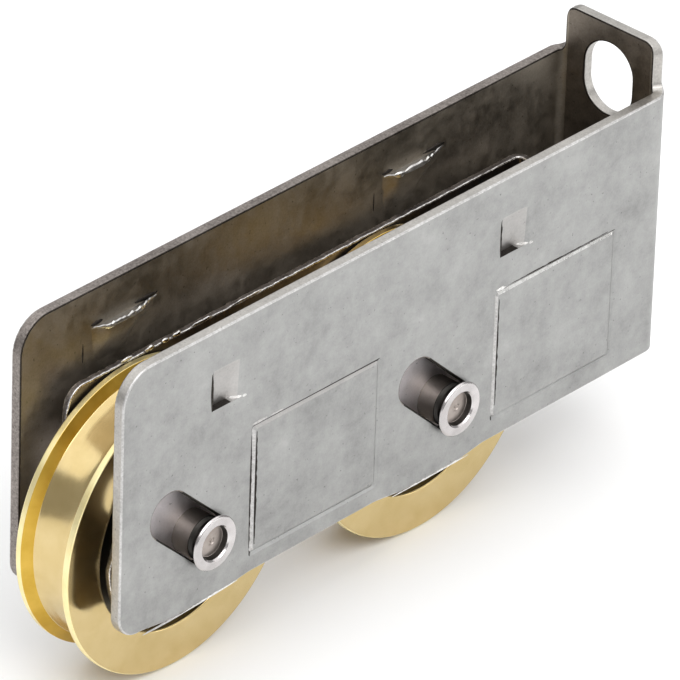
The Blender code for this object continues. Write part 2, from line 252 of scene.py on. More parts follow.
def bend_strip(shape, half, right, sheet, inside, cuts=8):
    """Bend a flat strip into a U that opens towards -X.

    The strip's local X runs along the front plate, round the web and back along the rear plate.
    Faces outside, inside, on the cut edges and on both roundings of the edges get their own slots.
    """
    middle = inside + sheet / 2
    outer = inside + sheet
    quarter = middle * math.pi / 2
    first, web, web_end, second = strip_marks(half, right, sheet, inside)
    for face in shape.faces:
        face.material_index = strip_slot(face.normal.z)
    lines = [start + quarter * step / cuts
             for start in (first, web_end) for step in range(cuts + 1)]
    for line in lines:
        everything = list(shape.verts) + list(shape.edges) + list(shape.faces)
        bmesh.ops.bisect_plane(shape, geom=everything, dist=MERGE, plane_co=(line, 0, 0),
                               plane_no=(1, 0, 0))
    for face in shape.faces:
        where = face.calc_center_median().x
        # The web's inside faces get a darker copy of the inside finish: painted shade deep in the
        # housing.
        if face.material_index == INSIDE and web < where < web_end:
            face.material_index = END
        # Cut edges of the front plate and web get a lighter copy of the cut edge finish that paints
        # light.
        if face.material_index == CUT and where < web_end:
            face.material_index = FRONT_CUT
    for vert in shape.verts:
        along, height, out = vert.co
        if along <= first:
            vert.co = (along, -(half - sheet / 2) - out, height)
        elif along <= web:
            turn = (along - first) / middle
            reach = middle + out
            vert.co = (first + reach * math.sin(turn),
                       -(half - outer) - reach * math.cos(turn), height)
        elif along <= web_end:
            vert.co = (right - sheet / 2 + out, -(half - outer) + along - web, height)
        elif along <= second:
            turn = (along - web_end) / middle
            reach = middle + out
            vert.co = (first + reach * math.cos(turn),
                       half - outer + reach * math.sin(turn), height)
        else:
            vert.co = (first - (along - second), half - sheet / 2 + out, height)
    bmesh.ops.recalc_face_normals(shape, faces=shape.faces)


def shade(thing, degrees):
    """Smooth shading with weighted normals; edges over an angle stay sharp."""
    thing.data.shade_smooth()
    thing.data.set_sharp_from_angle(angle=math.radians(degrees))
    weigh = thing.modifiers.new("weighted_normals", "WEIGHTED_NORMAL")
    weigh.keep_sharp = True
    weigh.weight = 80
    return baked(thing)


def place(thing, body, nodes):
    """Scale a piece built in millimetres, put it in the shared frame and hand it to its body."""
    thing.data.transform(Matrix.Translation(HOUSING_ORIGIN) @ Matrix.Scale(MM, 4))
    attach(thing, body)
    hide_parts(*nodes)
    return thing


def boolean(thing, mesh, operation):
    """Cut an object with a mesh, or join the mesh to it, and apply the result."""
    for material in thing.data.materials:
        mesh.materials.append(material)
    cutter = new_object("cutter", mesh)
    step = thing.modifiers.new("cut", "BOOLEAN")
    step.operation = operation
    step.solver = "EXACT"
    step.object = cutter
    baked(thing)
    bpy.data.objects.remove(cutter, do_unlink=True)
    bpy.data.meshes.remove(mesh)


# ---------------------------------------------------------------- materials

def material(name, colour, roughness, metallic=1.0):
    """New Principled material, with its nodes and shader."""
    made = bpy.data.materials.new(name)
    made.use_nodes = True
    made.diffuse_color = (*colour, 1.0)
    shader = made.node_tree.nodes["Principled BSDF"]
    shader.inputs["Base Color"].default_value = (*colour, 1.0)
    shader.inputs["Roughness"].default_value = roughness
    shader.inputs["Metallic"].default_value = metallic
    return made, made.node_tree, shader


def node(tree, kind, **inputs):
    """New shader node with some input values set by name."""
    made = tree.nodes.new(kind)
    for name, value in inputs.items():
        made.inputs[name.replace("_", " ")].default_value = value
    return made


def coordinates(tree):
    """Object coordinates in millimetres."""
    source = tree.nodes.new("ShaderNodeTexCoord")
    mapping = tree.nodes.new("ShaderNodeMapping")
    mapping.inputs["Scale"].default_value = [PER_METRE] * 3
    tree.links.new(source.outputs["Object"], mapping.inputs["Vector"])
    return mapping.outputs["Vector"]


def noise(tree, vector, scale, detail, rough):
    """Noise between 0 and 1 along a vector."""
    made = node(tree, "ShaderNodeTexNoise", Scale=scale, Detail=detail, Roughness=rough)
    tree.links.new(vector, made.inputs["Vector"])
    return made.outputs["Fac"]


def spread(tree, value, low, high, start=0.3, stop=0.7):
    """Map a value from start..stop to low..high."""
    made = node(tree, "ShaderNodeMapRange", From_Min=start, From_Max=stop, To_Min=low, To_Max=high)
    tree.links.new(value, made.inputs["Value"])
    return made.outputs["Result"]


def blended(tree, value, dark, light, start=0.3, stop=0.7):
    """Colour ramp between two colours."""
    ramp = tree.nodes.new("ShaderNodeValToRGB")
    ramp.color_ramp.elements[0].position = start
    ramp.color_ramp.elements[0].color = (*dark, 1.0)
    ramp.color_ramp.elements[1].position = stop
    ramp.color_ramp.elements[1].color = (*light, 1.0)
    tree.links.new(value, ramp.inputs["Fac"])
    return ramp.outputs["Color"]


def overlaid(tree, colour, other, amount):
    """Cover a colour with another one by an amount between 0 and 1."""
    made = tree.nodes.new("ShaderNodeMix")
    made.data_type = "RGBA"
    made.inputs[7].default_value = (*other, 1.0)
    tree.links.new(amount, made.inputs[0])
    tree.links.new(colour, made.inputs[6])
    return made.outputs[2]


def mixed(tree, first, second, factor=0.5):
    """Weighted mean of two values."""
    made = tree.nodes.new("ShaderNodeMix")
    made.data_type = "FLOAT"
    made.inputs[0].default_value = factor
    tree.links.new(first, made.inputs[2])
    tree.links.new(second, made.inputs[3])
    return made.outputs[0]


def bump(tree, shader, height, strength, distance):
    """Bump the shader's normal by a height in units of the distance in millimetres."""
    made = node(tree, "ShaderNodeBump", Strength=strength, Distance=distance * MM)
    tree.links.new(height, made.inputs["Height"])
    tree.links.new(made.outputs["Normal"], shader.inputs["Normal"])


# Noises of the metals, as arguments of noise(): scale per millimetre, detail and roughness.
CLOUDS = (0.16, 5.0, 0.6)
PATCHES = (0.75, 4.0, 0.6)
FINE_GRAIN = (3.2, 3.0, 0.7)
PITS = (1.9, 2.0, 0.5)
STAIN = (0.25, 4.0, 0.6)
PATCH_SHARE = 0.35
PIT_COVER = 0.55
PIT_START = 0.69
PIT_STOP = 0.75
PIT_SHADE = 0.35
SHEET_BUMP = 0.3
TURNED_BUMP = 0.5


def sheet_metal(name, dark, light, rough_low, rough_high, contrast=0.14, grain=0.3,
                relief_depth=0.02):
    """Sheet: mottling on two scales, fine grain and scattered small pits."""
    made, tree, shader = material(name, light, rough_high)
    even = coordinates(tree)
    clouds = noise(tree, even, *CLOUDS)
    patches = noise(tree, even, *PATCHES)
    fine = noise(tree, even, *FINE_GRAIN)
    tone = mixed(tree, mixed(tree, clouds, patches, PATCH_SHARE), fine, grain)
    colour = blended(tree, tone, dark, light, 0.5 - contrast, 0.5 + contrast)
    pits = spread(tree, noise(tree, even, *PITS), 0.0, PIT_COVER, PIT_START, PIT_STOP)
    shadow = [PIT_SHADE * part for part in dark]
    tree.links.new(overlaid(tree, colour, shadow, pits), shader.inputs["Base Color"])
    rough = mixed(tree, clouds, patches)
    tree.links.new(spread(tree, rough, rough_low, rough_high, 0.38, 0.62),
                   shader.inputs["Roughness"])
    bump(tree, shader, mixed(tree, fine, patches), SHEET_BUMP, relief_depth)
    return made


def turned_metal(name, dark, light, rough_low, rough_high, rings=5.0, depth=0.006):
    """Turned metal: fine rings about the piece's own Z axis, and a little staining."""
    made, tree, shader = material(name, light, rough_high)
    source = tree.nodes.new("ShaderNodeTexCoord")
    split = tree.nodes.new("ShaderNodeSeparateXYZ")
    tree.links.new(source.outputs["Object"], split.inputs["Vector"])
    flat = tree.nodes.new("ShaderNodeCombineXYZ")
    tree.links.new(split.outputs["X"], flat.inputs["X"])
    tree.links.new(split.outputs["Y"], flat.inputs["Y"])
    length = tree.nodes.new("ShaderNodeVectorMath")
    length.operation = "LENGTH"
    tree.links.new(flat.outputs["Vector"], length.inputs[0])
    section = tree.nodes.new("ShaderNodeCombineXYZ")
    tree.links.new(length.outputs["Value"], section.inputs["X"])
    tree.links.new(split.outputs["Z"], section.inputs["Y"])
    large = tree.nodes.new("ShaderNodeVectorMath")
    large.operation = "SCALE"
    large.inputs["Scale"].default_value = PER_METRE
    tree.links.new(section.outputs["Vector"], large.inputs[0])
    lathe = noise(tree, large.outputs["Vector"], rings, 2.0, 0.5)
    stain = noise(tree, coordinates(tree), *STAIN)
    tree.links.new(blended(tree, stain, dark, light), shader.inputs["Base Color"])
    rough = mixed(tree, lathe, stain)
    tree.links.new(spread(tree, rough, rough_low, rough_high), shader.inputs["Roughness"])
    bump(tree, shader, lathe, TURNED_BUMP, depth)
    return made


# Each finish: name, dark and light colour, lowest and highest roughness, then its other values.
STEEL_OUT = sheet_metal("steel_outside", (0.268, 0.268, 0.263), (0.462, 0.462, 0.452),
                        0.36, 0.50, 0.17, 0.17)
STEEL_IN = sheet_metal("steel_inside", (0.26, 0.23, 0.185), (0.41, 0.365, 0.305), 0.42, 0.58)
STEEL_EDGE = sheet_metal("steel_cut_edge", (0.125, 0.108, 0.098), (0.35, 0.315, 0.292),
                         0.36, 0.5, 0.12, 0.55, 0.05)
# Near-black steel that paints shade: in the inner roundings, on the slit's face, on the dent's left
# wall, on groove walls, along dark burr lines and along slot edges.
STEEL_PAINTED_SHADE = sheet_metal("steel_painted_shade", (0.018, 0.015, 0.013), (0.07, 0.062, 0.055), 0.5, 0.6)
# Light steel for wear together with a painted highlight on the outer roundings, lips and lit groove
# walls.
STEEL_WORN_HIGHLIGHT = sheet_metal("steel_worn_highlight", (0.38, 0.37, 0.36), (0.68, 0.67, 0.66),
                         0.28, 0.42, 0.12, 0.5, 0.03)
# Darker copy of the inside finish that paints shade on the web's inside.
STEEL_END_SHADED = sheet_metal("steel_end_inside_painted_shade", (0.145, 0.125, 0.102), (0.265, 0.228, 0.19), 0.40, 0.55)
# Lighter steel that paints light into the downward-facing dents, along the bump's brink and in the
# first frame's groove.
STEEL_POCKET_LIT = sheet_metal("steel_pressed_painted_light", (0.37, 0.36, 0.35), (0.52, 0.505, 0.49), 0.38, 0.5)
# Very light steel that paints glints along lance lips and bright burr lines.
STEEL_PAINTED_GLINT = sheet_metal("steel_painted_glint", (0.62, 0.61, 0.59), (0.92, 0.91, 0.89),
                          0.2, 0.34, 0.12, 0.5, 0.03)
# Lighter copy of the cut edge finish that paints light on the cut edges of the front plate and web.
STEEL_FRONT_EDGE_LIT = sheet_metal("steel_front_edge_painted_light", (0.34, 0.325, 0.305), (0.54, 0.52, 0.49),
                               0.34, 0.46, 0.14, 0.5, 0.03)
HOUSING_FINISHES = (STEEL_OUT, STEEL_IN, STEEL_EDGE, STEEL_PAINTED_SHADE, STEEL_WORN_HIGHLIGHT, STEEL_END_SHADED,
                    STEEL_POCKET_LIT, STEEL_FRONT_EDGE_LIT, STEEL_PAINTED_GLINT)
# Slots of the housing: outside, inside, cut edge, painted shade, wear with a painted highlight, the
# web's inside in painted shade, the dent's lighter finish that paints light, front cut edges
# painted lighter, and a painted glint.
OUTSIDE, INSIDE, CUT, PAINTED_EDGE, WORN_HIGHLIGHT, END, POCKET, FRONT_CUT, SHINE = range(9)

CARRIER_OUT = sheet_metal("carrier_outside", (0.66, 0.62, 0.625), (0.80, 0.755, 0.765), 0.42, 0.55,
                          relief_depth=0.006)
# Near-black inside of the carrier: painted shade in the narrow gaps between the sheets.
CARRIER_IN_SHADED = sheet_metal("carrier_inside_painted_shade", (0.11, 0.095, 0.085), (0.18, 0.155, 0.14), 0.35, 0.48)
CARRIER_EDGE = sheet_metal("carrier_cut_edge", (0.12, 0.11, 0.11), (0.34, 0.32, 0.32),
                           0.3, 0.45, 0.12, 0.5, 0.03)
# Light steel that paints highlights on the carrier's roundings and burr lumps.
CARRIER_LIP_HIGHLIGHT = sheet_metal("carrier_lip_painted_highlight", (0.38, 0.36, 0.35), (0.86, 0.84, 0.82),
                          0.2, 0.35, 0.08, 0.7, 0.04)
# The carrier's roundings and burr lumps take the lip's painted highlight; its inside and web take
# the painted shade.
CARRIER_FINISHES = (CARRIER_OUT, CARRIER_IN_SHADED, CARRIER_EDGE, CARRIER_LIP_HIGHLIGHT, CARRIER_LIP_HIGHLIGHT, CARRIER_IN_SHADED,
                    CARRIER_OUT, CARRIER_EDGE, CARRIER_LIP_HIGHLIGHT)

BRASS = turned_metal("brass_turned", (0.61, 0.465, 0.215), (0.69, 0.545, 0.28), 0.12, 0.22)
# Darker, deeper gold for the groove walls: painted shade of the deep groove.
BRASS_WALL_SHADED = turned_metal("brass_groove_wall_painted_shade", (0.56, 0.35, 0.05), (0.70, 0.465, 0.09), 0.3, 0.42)
# Light cream brass that paints a highlight on the lands.
BRASS_LAND_HIGHLIGHT = turned_metal("brass_land_painted_highlight", (0.88, 0.74, 0.36), (0.98, 0.88, 0.52), 0.32, 0.46)
# Near-black brass that paints shade in the hub's recess.
BRASS_HUB_SHADED = turned_metal("brass_hub_recess_painted_shade", (0.06, 0.05, 0.035), (0.13, 0.11, 0.07), 0.35, 0.5)
WHEEL_FINISHES = (BRASS, BRASS_WALL_SHADED, BRASS_HUB_SHADED, BRASS_LAND_HIGHLIGHT)
TURNED, GROOVE_WALL, HUB_SIDE, LAND = range(4)

RIVET = turned_metal("rivet_shank", (0.29, 0.26, 0.235), (0.41, 0.375, 0.345),
                     0.38, 0.48, 4.0, 0.008)
RIVET_RIM = turned_metal("rivet_rim", (0.48, 0.455, 0.45), (0.70, 0.67, 0.665),
                         0.17, 0.27, 4.0, 0.012)
# Near-black steel that paints shade on the recess wall and on the neck under the rivet's rim.
RIVET_SHADE = turned_metal("rivet_recess_painted_shade", (0.03, 0.028, 0.025), (0.08, 0.075, 0.07),
                          0.4, 0.5, 4.0, 0.008)
RIVET_DISC = turned_metal("rivet_recess_floor", (0.27, 0.23, 0.205), (0.50, 0.445, 0.41),
                          0.3, 0.42, 3.0, 0.02)
RIVET_FINISHES = (RIVET, RIVET_RIM, RIVET_SHADE, RIVET_DISC)
SHANK, RIM, RECESS_WALL, RECESS_FLOOR = range(4)

BEARING = turned_metal("bearing_ground", (0.44, 0.44, 0.45), (0.55, 0.55, 0.56),
                       0.08, 0.16, 6.0, 0.003)
SHIELD = turned_metal("shield_pressed", (0.26, 0.25, 0.26), (0.35, 0.34, 0.34),
                      0.24, 0.36, 3.0, 0.006)
CAGE = turned_metal("cage_pressed", (0.48, 0.39, 0.21), (0.58, 0.47, 0.27),
                    0.24, 0.36, 3.0, 0.006)


# ---------------------------------------------------------------- housing

def ramp(value, start, stop):
    """Straight rise from 0 at start to 1 at stop."""
    return min(1.0, max(0.0, (value - start) / (stop - start)))


def ease(value, start, stop):
    """Smooth rise from 0 at start to 1 at stop."""
    part = ramp(value, start, stop)
    return part * part * (3 - 2 * part)


# How far a relief's surface starts proud of the plate's face, and how far back its rear lies.
PROUD = 0.03
RELIEF_BACK = 0.4


def relief(face, outward, xs, zs, depth, pick):
    """Closed body between a plate's face and a surface pressed inward by depth(x, z).

    The function pick gives each face's slot from its middle and its normal.
    """
    shape = bmesh.new()
    back = face + outward * RELIEF_BACK
    rows = [[shape.verts.new((x, face + outward * (PROUD - depth(x, z)), z)) for z in zs]
            for x in xs]
    rear = [[shape.verts.new((x, back, z)) for z in zs] for x in xs]
    for grid in (rows, rear):
        for one, two in zip(grid, grid[1:]):
            for k in range(len(zs) - 1):
                shape.faces.new((one[k], two[k], two[k + 1], one[k + 1]))
    for one, two in ((rows[0], rear[0]), (rows[-1], rear[-1])):
        for k in range(len(zs) - 1):
            shape.faces.new((one[k], one[k + 1], two[k + 1], two[k]))
    for k in (0, -1):
        for i in range(len(xs) - 1):
            shape.faces.new((rows[i][k], rows[i + 1][k], rear[i + 1][k], rear[i][k]))
    bmesh.ops.recalc_face_normals(shape, faces=shape.faces)
    for poly in shape.faces:
        poly.material_index = pick(poly.calc_center_median(), poly.normal)
    return to_mesh(shape, "relief")


def span(start, stop, count):
    """Evenly spaced values."""
    return [start + (stop - start) * step / count for step in range(count + 1)]


# Lances. Offsets along X are from a lance's middle.
LANCE_MIDDLES = (17.95, 67.85)
LANCE_LOW = 25.25
LANCE_HIGH = 30.75
LANCE_ROWS = 12

# Dent outside: its left wall, where its floor starts, where it fades out, and its right end.
LANCE_DEPTH = 1.0
DENT_WALL = (-3.1, -2.8)
DENT_FLOOR = -2.2
DENT_FADE = (0.2, 2.3)
DENT_RIGHT = 3.1
DENT_CURVE = 0.8
POCKET_RIGHT = 1.4

# Parts of a normal over which a face counts as level, or as a wall.
LEVEL = 0.95
WALL = 0.4

# Bump inside: where it rises at its left and falls at its right away from the slit, how much
# further right it reaches at the slit, and the share of its height that is its rounded brink.
BUMP_DEPTH = 1.0
BUMP_RISE = (-6.4, -4.0)
BUMP_FALL = (-1.2, 0.3)
BUMP_REACH = 4.5
BUMP_BRINK = 0.12
BRINK_HEIGHT = 0.1
BUMP_RIGHT = 4.8
BUMP_STATIONS = 42

# Burrs of a lance, coloured to paint light and shade: the lip along its slit (start, end and steps)
# with wear and a painted highlight, spots of painted glint on it (first and last point of the lip,
# radius), dark lines of painted shade from the slit's gap beside it (start, end, radius) and a
# crease to its left in painted shade.
LIP_SPAN = (-6.0, 4.7, 48)
LIP_RADIUS = 0.34
LIP_OFFSET = 0.16
BRIGHT_SPOTS = ((5, 13, 0.46), (29, 38, 0.4))
SLIT_SHADE_LINES = ((-6.3, -4.4, 0.26), (1.0, 4.8, 0.28))
SLIT_SHADE_LIFT = 0.42
CREASE_X = -7.6
CREASE_SPAN = (26.6, 29.2, 8)
CREASE_RADIUS = 0.1

# Bright lip that slopes out of the dent on the front: start, run along X and Y, drop and radius.
FRONT_LIP_START = (0.7, 0.85)
FRONT_LIP_RUN = (2.0, -0.9)
FRONT_LIP_DROP = 0.05
FRONT_LIP_RADIUS = 0.3
FRONT_LIP_SEED = 17.95


def dent_depth(x, z, middle, slit, hinge):
    """Depth of a lance's outer side, with a steep left wall and a slow right one."""
    left = ramp(x, middle + DENT_WALL[0], middle + DENT_WALL[1])
    across = left * ease(x, middle + DENT_FADE[1], middle + DENT_FADE[0])
    return (LANCE_DEPTH + PROUD) * across * ramp(z, hinge, slit) ** DENT_CURVE


def bump_depth(x, z, middle, slit, hinge):
    """Height of a lance's inner side, which reaches further to the right towards its slit."""
    lift = ease(z, hinge, slit + (hinge - slit) * BUMP_BRINK)
    reach = lift ** 3
    left = ease(x, middle + BUMP_RISE[0], middle + BUMP_RISE[1])
    right = ease(x, middle + BUMP_FALL[1] + BUMP_REACH * reach, middle + BUMP_FALL[0] + reach)
    return (BUMP_DEPTH + PROUD) * left * right * lift


def dent_slot(spot, normal, middle):
    """Slot of a face of a lance's dent."""
    # Level faces take a painted highlight on the right and painted shade on the left; the dent's
    # steep left wall takes painted shade, and the rest of the dent a lighter finish that paints
    # light.
    if abs(normal.z) > LEVEL:
        return WORN_HIGHLIGHT if spot.x > middle + DENT_FADE[0] else PAINTED_EDGE
    if spot.x > middle + POCKET_RIGHT:
        return OUTSIDE
    return PAINTED_EDGE if normal.x * (spot.x - middle) > WALL and spot.x < middle else POCKET


def lance(housing, middle, outward):
    """Press one lance inward: a dent outside and a softer bump inside, open along its slit."""
    slit, hinge = (LANCE_LOW, LANCE_HIGH) if outward < 0 else (LANCE_HIGH, LANCE_LOW)
    outer = outward * HALF_WIDTH
    inner = outer - outward * SHEET

    def dent(x, z):
        return dent_depth(x, z, middle, slit, hinge)

    def bump_out(x, z):
        return bump_depth(x, z, middle, slit, hinge)

    def pick_dent(spot, normal):
        return dent_slot(spot, normal, middle)

    def pick_bump(spot, normal):
        # The bump's brink along the slit takes the lighter finish that paints a highlight.
        brink = abs(normal.z) > LEVEL or abs(spot.z - slit) < BRINK_HEIGHT
        return POCKET if brink else INSIDE

    rows = span(LANCE_LOW, LANCE_HIGH, LANCE_ROWS)
    fade = span(middle + DENT_FADE[0], middle + DENT_FADE[1], 8)
    columns = [middle + DENT_WALL[0], middle + DENT_WALL[1], middle + DENT_FLOOR, *fade,
               middle + DENT_RIGHT]
    bump_rows = sorted(rows + [slit + (LIP_OFFSET if slit < hinge else -LIP_OFFSET)])
    stations = span(middle + BUMP_RISE[0], middle + BUMP_RIGHT, BUMP_STATIONS)
    boolean(housing, relief(inner, outward, stations, bump_rows, bump_out, pick_bump), "UNION")
    boolean(housing, relief(outer, outward, columns, rows, dent, pick_dent), "DIFFERENCE")
    start, stop, count = LIP_SPAN
    lip = [(x, inner - outward * bump_out(x, slit), slit)
           for x in span(middle + start, middle + stop, count)]
    boolean(housing, bead(lip, LIP_RADIUS, WORN_HIGHLIGHT, middle), "UNION")
    if outward < 0:
        front_lip(housing, middle, outer, slit)
    else:
        rear_painted_beads(housing, middle, inner, slit, lip)


def front_lip(housing, middle, outer, slit):
    """Lip with a painted highlight at the right end of a front lance's slit."""
    path = [(middle + FRONT_LIP_START[0] + FRONT_LIP_RUN[0] * step,
             outer + FRONT_LIP_START[1] + FRONT_LIP_RUN[1] * step, slit - FRONT_LIP_DROP)
            for step in span(0, 1, 12)]
    boolean(housing, bead(path, FRONT_LIP_RADIUS, SHINE, FRONT_LIP_SEED), "UNION")


def rear_painted_beads(housing, middle, inner, slit, lip):
    """Spots of painted glint, and dark lines and a crease in painted shade, round a rear lance's
    slit.
    """
    for start, stop, radius in BRIGHT_SPOTS:
        boolean(housing, bead(lip[start:stop], radius, SHINE, middle + start), "UNION")
    for start, stop, radius in SLIT_SHADE_LINES:
        slit_shade = [(middle + x, inner, slit + SLIT_SHADE_LIFT) for x in span(start, stop, 10)]
        boolean(housing, bead(slit_shade, radius, PAINTED_EDGE, middle + stop), "UNION")
    crease = [(middle + CREASE_X, inner, z) for z in span(*CREASE_SPAN)]
    boolean(housing, bead(crease, CREASE_RADIUS, PAINTED_EDGE, middle), "UNION")


# Waves of a bead: step between seeds, waves per millimetre, and share of its radius and its place.
BEAD_SEED_STEP = 7.3
BEAD_WAVE = 1.3
BEAD_SWELL = 0.6
BEAD_SWAY = 0.4
BEAD_SIDES = 8
BEAD_FLATNESS = 0.8
BURR_STEP = 0.22


def bead(path, radius, index, seed):
    """Ragged burr along a path of points, tapering at both ends, in one given slot; its slot paints
    shade on dark burrs and a highlight on bright ones.
    """
    shape = bmesh.new()
    path = [Vector(point) for point in path]
    along = (path[-1] - path[0]).normalized()
    across = Vector((0, 1, 0))
    side = along.cross(across).normalized()
    rings = []
    travelled = 0.0
    for step, spot in enumerate(path):
        if step:
            travelled += (spot - path[step - 1]).length
        wave = mathutils.noise.noise((seed * BEAD_SEED_STEP, 0.0, travelled * BEAD_WAVE))
        taper = math.sin(math.pi * (0.02 + 0.96 * step / (len(path) - 1))) ** 0.5
        size = radius * taper * (1 + BEAD_SWELL * wave)
        middle = spot + side * BEAD_SWAY * radius * wave
        turns = [math.tau * k / BEAD_SIDES for k in range(BEAD_SIDES)]
        rings.append([shape.verts.new(middle + side * size * math.cos(turn)
                                      + across * size * BEAD_FLATNESS * math.sin(turn))
                      for turn in turns])
    for one, two in zip(rings, rings[1:]):
        for k in range(BEAD_SIDES):
            after = (k + 1) % BEAD_SIDES
            shape.faces.new((one[k], one[after], two[after], two[k]))
    shape.faces.new(rings[0])
    shape.faces.new(rings[-1])
    bmesh.ops.recalc_face_normals(shape, faces=shape.faces)
    for poly in shape.faces:
        poly.material_index = index
    return to_mesh(shape, "bead")


def straight(start, end):
    """Points from start to end on the front plate's face."""
    count = max(8, round(math.dist(start, end) / BURR_STEP))
    spots = [Vector(start).lerp(Vector(end), k / count) for k in range(count + 1)]
    return [(spot.x, -HALF_WIDTH, spot.y) for spot in spots]


# Stamped frames on the front plate: left, right, low, high, slot of the groove's upper side
# (painted light on the first frame, a painted glint on the second), and half the groove's width.
FRAMES = (
    (22.2, 43.75, 2.5, 19.9, POCKET, 0.36),
    (64.5, 85.8, 2.8, 20.3, SHINE, 0.29),
)
FRAME_DEPTH = 0.3
FRAME_CORNER = 0.4
FRAME_SHALLOW = 0.45
FRAME_FADE = 4.0
FRAME_OVERRUN = 6.0
GROOVE_SIDE = 0.3


def groove_share(u, v, left, right, high):
    """How deep a frame's groove is at a point, as a share of its full depth."""
    beside = ramp(u, left + FRAME_FADE, left)
    above = ramp(v, high - FRAME_FADE, high) * ramp(u, right + FRAME_OVERRUN, left)
    return FRAME_SHALLOW + (1 - FRAME_SHALLOW) * max(beside, above)


def frame_groove(left, right, low, high, upper, half):
    """Cutter for a V groove round a rectangle, deepest at its left and top sides."""
    face = -HALF_WIDTH
    section = [(-half, 0.06), (-half, -0.01), (0.0, -FRAME_DEPTH), (half, -0.01), (half, 0.06)]
    shape = bmesh.new()
    rings = []
    for away, out in section:
        outline = rounded([(left - away, low - away, FRAME_CORNER),
                           (right + away, low - away, FRAME_CORNER),
                           (right + away, high + away, FRAME_CORNER),
                           (left - away, high + away, FRAME_CORNER)], 3)
        ring = []
        for u, v in outline:
            share = groove_share(u, v, left, right, high) if out < 0 else 1.0
            ring.append(shape.verts.new((u, face - out * share, v)))
        rings.append(ring)
    count = len(rings[0])
    for one, two in zip(rings, rings[1:] + rings[:1]):
        for k in range(count):
            shape.faces.new((one[k], one[(k + 1) % count], two[(k + 1) % count], two[k]))
    bmesh.ops.recalc_face_normals(shape, faces=shape.faces)
    # The left and top sides of the groove are coloured as lit and shaded walls: painted shade on
    # one wall, painted light on the other.
    for poly in shape.faces:
        spot = poly.calc_center_median()
        if spot.x < left + 1 and abs(poly.normal.x) > GROOVE_SIDE:
            poly.material_index = PAINTED_EDGE if poly.normal.x < 0 else WORN_HIGHLIGHT
        elif spot.z > high - 1 and abs(poly.normal.z) > GROOVE_SIDE:
            poly.material_index = upper if poly.normal.z < 0 else PAINTED_EDGE
    return to_mesh(shape, "frame_groove")


# Burrs on the front plate, coloured with painted shade along dark edges and painted highlights
# along bright ones: start, end, radius and slot.
BURRS_WITH_PAINTED_LIGHT = (
    ((14.9, 30.3), (14.9, 25.4), 0.17, PAINTED_EDGE),
    ((64.8, 30.3), (64.8, 25.4), 0.12, PAINTED_EDGE),
    ((21.85, 19.0), (21.85, 3.4), 0.11, PAINTED_EDGE),
    ((22.75, 19.2), (22.75, 3.6), 0.15, PAINTED_EDGE),
    ((64.95, 19.4), (64.95, 4.5), 0.1, PAINTED_EDGE),
    ((66.5, 20.75), (84.5, 20.7), 0.09, PAINTED_EDGE),
    ((21.9, 20.45), (24.4, 20.5), 0.17, WORN_HIGHLIGHT),
    ((25.0, 20.45), (27.2, 20.4), 0.12, WORN_HIGHLIGHT),
    ((64.3, 20.85), (66.0, 20.8), 0.2, SHINE),
    ((4.0, -0.62), (12.0, -0.6), 0.14, WORN_HIGHLIGHT),
    ((9.0, -0.66), (20.0, -0.2), 0.12, SHINE),
    ((47.0, -0.6), (60.5, -0.55), 0.12, SHINE),
)


# How near an inclined slot its edge's faces lie, and where along it the edge's painted shade ends.
SLOT_RIM = 0.4
SLOT_DARK = 0.8


def slot_edge(spot):
    """How far along an inclined slot a point at its edge lies, from 0 to 1, or None."""
    turn = math.radians(SLOT_ANGLE)
    reach = Vector((math.cos(turn), math.sin(turn)))
    for number in (0, 1):
        away = Vector((spot.x, spot.z)) - Vector((AXLE_X + number * AXLE_SPACING, AXLE_Z))
        along = min(SLOT_TRAVEL, max(0.0, away.dot(reach)))
        if (away - reach * along).length < SLOT_WIDTH / 2 + SLOT_RIM:
            return along / SLOT_TRAVEL
    return None


